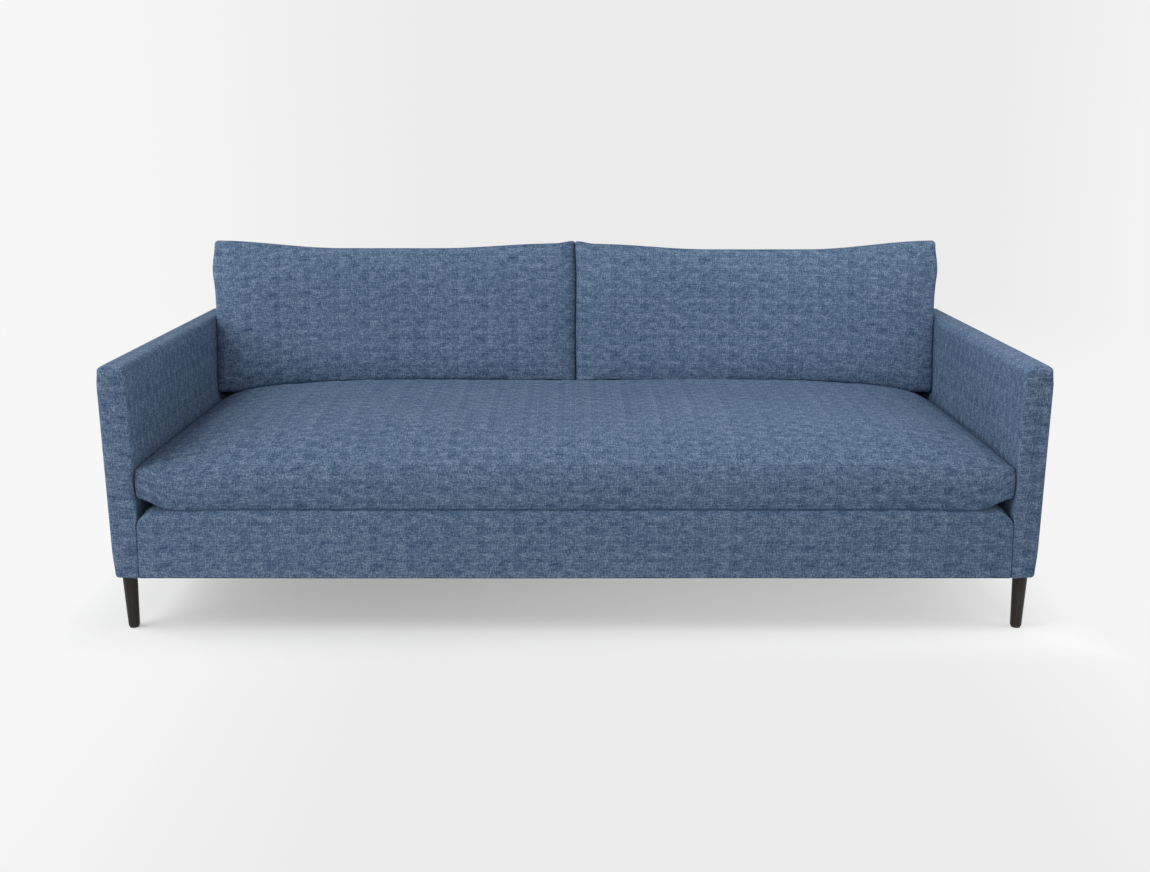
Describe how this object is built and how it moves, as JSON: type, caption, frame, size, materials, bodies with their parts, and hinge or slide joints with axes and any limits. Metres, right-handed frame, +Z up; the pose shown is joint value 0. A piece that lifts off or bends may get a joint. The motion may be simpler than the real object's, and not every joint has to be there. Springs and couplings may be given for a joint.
{
  "type": "sofa",
  "caption": "Long low fabric sofa with a bench seat cushion, leaning loose back cushions, slim square arms and tapered round legs.",
  "frame": {"origin": "on the floor under the middle of the sofa", "axes": "+Z up, -Y towards the person facing the sofa's front, +X along the sofa's width, to the right as that person sees it"},
  "size_m": [2.24, 0.99, 0.8819],
  "materials": {
    "sofa_fabric": "heathered blue woven upholstery cloth",
    "deck_cloth": "plain blue deck cloth",
    "dust_cloth": "black non-woven dust cloth",
    "frame_timber": "sawn hardwood",
    "panel_board": "plain board",
    "leg_timber": "nearly black stained, satin",
    "spring_steel": "oiled spring wire",
    "zinc_steel": "zinc plated",
    "glide_plastic": "black glide",
    "webbing": "woven elastic webbing",
    "wadding": "white polyester fibre",
    "foam": "open-cell foam",
    "zip_tape": "woven tape with coil chain",
    "zip_metal": "dark enamelled slider"
  },
  "bodies": {
    "frame": {"arm_bottom_rail_left": "frame_timber", "arm_bottom_rail_right": "frame_timber", "arm_cover_left": "sofa_fabric", "arm_cover_right": "sofa_fabric", "arm_front_post_left": "frame_timber", "arm_front_post_right": "frame_timber", "arm_pad_left": "wadding", "arm_pad_right": "wadding", "arm_panels_left": "panel_board", "arm_panels_right": "panel_board", "arm_rear_post_left": "frame_timber", "arm_rear_post_right": "frame_timber", "arm_top_rail_left": "frame_timber", "arm_top_rail_right": "frame_timber", "back_bottom_rail": "frame_timber", "back_pad": "wadding", "back_tacking_rails": "frame_timber", "back_top_rail": "frame_timber", "back_uprights": "frame_timber", "back_webbing_columns": "webbing", "back_webbing_rows": "webbing", "centre_leg": "leg_timber", "corner_blocks": "frame_timber", "deck_cover": "deck_cloth", "deck_pad": "wadding", "dust_cover": "dust_cloth", "dust_cover_staples": "zinc_steel", "frame_dowels": "frame_timber", "frame_screws": "zinc_steel", "front_border_cover": "sofa_fabric", "front_border_pad": "wadding", "inside_back_cover": "sofa_fabric", "leg_bolts": "zinc_steel", "leg_front_left": "leg_timber", "leg_front_right": "leg_timber", "leg_glides": "glide_plastic", "leg_inserts": "zinc_steel", "leg_rear_left": "leg_timber", "leg_rear_right": "leg_timber", "outside_back_cover": "sofa_fabric", "seat_front_rail": "frame_timber", "seat_spring_rail": "frame_timber", "seat_springs": "spring_steel", "seat_stretchers": "frame_timber", "spring_clips": "zinc_steel", "spring_tie_wires": "spring_steel"},
    "seat_cushion": {"seat_cushion_cover": "sofa_fabric", "seat_cushion_wrap": "wadding", "seat_cushion_core": "foam", "seat_cushion_zip": "zip_tape"},
    "seat_zip_slider": {"seat_zip_slider": "zip_metal"},
    "back_cushion_left": {"back_cushion_cover_left": "sofa_fabric", "back_cushion_fill_left": "wadding", "back_cushion_zip_left": "zip_tape"},
    "back_cushion_right": {"back_cushion_cover_right": "sofa_fabric", "back_cushion_fill_right": "wadding", "back_cushion_zip_right": "zip_tape"},
    "back_zip_slider_left": {"back_zip_slider_left": "zip_metal"},
    "back_zip_slider_right": {"back_zip_slider_right": "zip_metal"}
  },
  "joints": [
    {"name": "seat_cushion_lift", "type": "slide", "parent": "frame", "child": "seat_cushion", "axis": [0, 0, 1], "range_m": [0, 0.25]},
    {"name": "back_cushion_left_lift", "type": "slide", "parent": "seat_cushion", "child": "back_cushion_left", "axis": [0, 0, 1], "range_m": [0, 0.3]},
    {"name": "back_cushion_right_lift", "type": "slide", "parent": "seat_cushion", "child": "back_cushion_right", "axis": [0, 0, 1], "range_m": [0, 0.3]},
    {"name": "seat_zip_pull", "type": "slide", "parent": "seat_cushion", "child": "seat_zip_slider", "axis": [1, 0, 0], "range_m": [0, 1.5]},
    {"name": "back_zip_pull_left", "type": "slide", "parent": "back_cushion_left", "child": "back_zip_slider_left", "axis": [-1, 0, 0], "range_m": [0, 0.74]},
    {"name": "back_zip_pull_right", "type": "slide", "parent": "back_cushion_right", "child": "back_zip_slider_right", "axis": [1, 0, 0], "range_m": [0, 0.74]}
  ]
}
